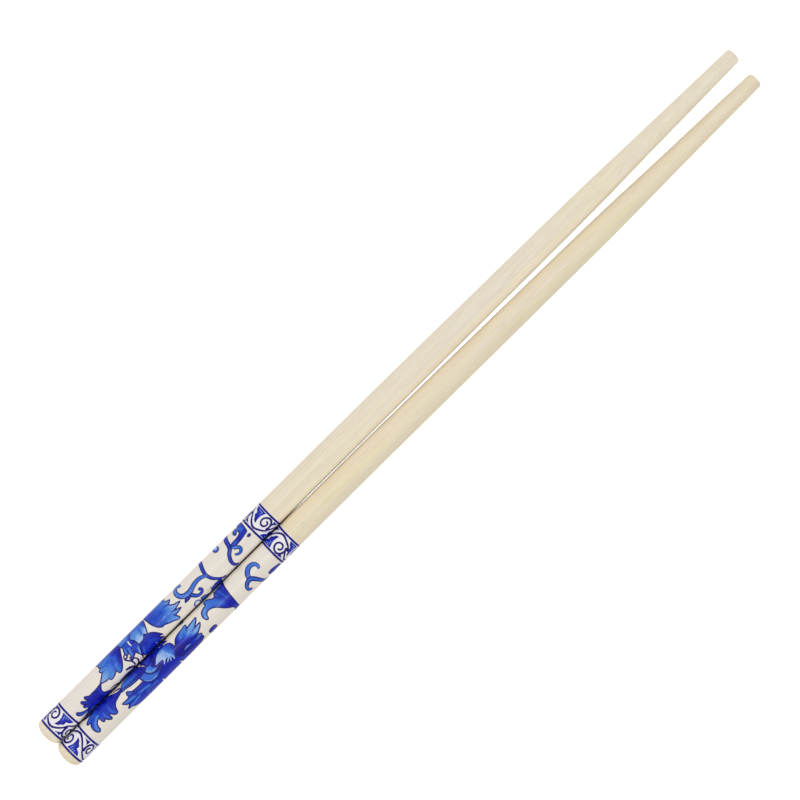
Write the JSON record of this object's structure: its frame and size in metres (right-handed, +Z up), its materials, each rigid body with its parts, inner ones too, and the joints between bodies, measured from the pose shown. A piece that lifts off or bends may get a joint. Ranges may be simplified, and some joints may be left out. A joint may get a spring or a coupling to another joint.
{
  "type": "pair of printed bamboo chopsticks",
  "caption": "Two round tapered bamboo chopsticks lying side by side, with a blue flower and scroll print on their ivory grips.",
  "frame": {"origin": "bottom centre of the pair's bounding box, on the surface that it lies on", "axes": "+X along the sticks towards their tips, +Y towards the left stick, +Z up"},
  "size_m": [0.2404, 0.0148, 0.0073],
  "materials": {
    "bamboo": "sanded smooth, bare",
    "ivory_film": "glossy",
    "dark_blue_ink": "glossy",
    "light_blue_ink": "glossy"
  },
  "bodies": {
    "root": {"chopstick_left": "bamboo", "chopstick_right": "bamboo", "printed_film_left": "ivory_film", "printed_film_right": "ivory_film", "border_lines_left": "dark_blue_ink", "border_lines_right": "dark_blue_ink", "dark_blue_print_left": "dark_blue_ink", "dark_blue_print_right": "dark_blue_ink", "light_blue_print_left": "light_blue_ink", "light_blue_print_right": "light_blue_ink"}
  },
  "joints": []
}
